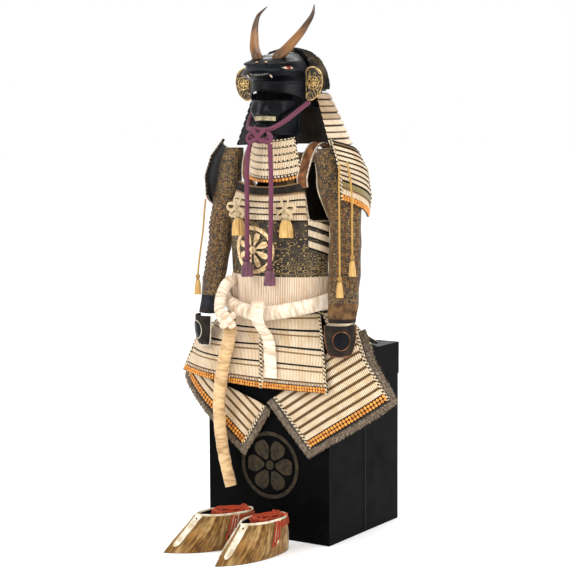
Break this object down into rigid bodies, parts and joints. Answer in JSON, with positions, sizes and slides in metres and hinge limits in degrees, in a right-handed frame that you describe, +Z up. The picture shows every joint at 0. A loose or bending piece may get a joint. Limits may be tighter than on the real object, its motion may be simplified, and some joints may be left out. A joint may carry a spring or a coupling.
{
  "type": "samurai armour set on its storage chest and stand",
  "caption": "Full suit of laced lamellar armour with horned helmet, mask, sleeves, skirt and fur boots, set out seated on a lacquered storage chest.",
  "frame": {"origin": "middle of the storage chest's underside, on the floor", "axes": "+Z up, the armour faces -Y, +X is the wearer's left"},
  "size_m": [0.6641, 0.712, 1.4758],
  "materials": {
    "chest": "gloss black lacquer",
    "wood": "plain planed wood",
    "lacquer": "black lacquer on iron",
    "horn": "satin",
    "leather": "printed and lacquered leather",
    "strap": "matt",
    "sash": "rolled silk",
    "fur": "fur",
    "bear_fur": "short fur on leather",
    "brocade": "figured brocade with mail",
    "purple_silk": "braided silk",
    "yellow_silk": "braided silk",
    "lacing": "silk lacing over lacquered scales"
  },
  "bodies": {
    "root": {"stand_post": "wood", "stand_head_block": "wood", "helmet_bowl": "lacquer", "helmet_mane": "lacquer", "helmet_beast_face": "lacquer", "helmet_peak": "lacquer", "horn_left": "horn", "horn_right": "horn", "turn_back_left": "lacquer", "turn_back_right": "lacquer", "neck_guard_lame_1": "lacing", "neck_guard_lame_2": "lacing", "neck_guard_lame_3": "lacing", "neck_guard_lame_4": "lacing", "face_mask": "lacquer", "throat_guard": "lacing", "cuirass_front": "leather", "cuirass_back": "leather", "waist_lacing": "lacing", "shoulder_strap_left": "strap", "shoulder_strap_right": "strap", "tasset_front_left": "lacing", "tasset_front_right": "lacing", "tasset_side_right": "lacing", "tasset_side_left": "lacing", "tasset_back": "lacing", "sash_belt": "sash", "sash_loop": "sash", "sash_end_long": "sash", "sash_end_short": "sash", "thigh_guard_left": "lacing", "fur_trim_left": "fur", "thigh_guard_right": "lacing", "fur_trim_right": "fur", "sleeve_left_outer": "brocade", "sleeve_left_inner": "brocade", "hand_guard_left": "leather", "sleeve_right_outer": "brocade", "sleeve_right_inner": "brocade", "hand_guard_right": "leather", "shoulder_guard_left": "lacing", "shoulder_guard_right": "lacing", "chin_cord_band": "purple_silk", "chin_cord_knot": "purple_silk", "chin_cord_end_left": "purple_silk", "chin_cord_end_left_tassel": "purple_silk", "chin_cord_end_right": "purple_silk", "chin_cord_end_right_tassel": "purple_silk", "guard_cord_left_front": "yellow_silk", "guard_cord_left_front_tassel": "yellow_silk", "guard_cord_left_back": "yellow_silk", "guard_cord_left_back_tassel": "yellow_silk", "guard_cord_right": "yellow_silk", "guard_cord_right_tassel": "yellow_silk", "breast_tassel_left": "yellow_silk", "breast_tassel_right": "yellow_silk", "chest_body": "chest", "chest_lid": "chest", "boot_left": "bear_fur", "boot_right": "bear_fur"}
  },
  "joints": []
}
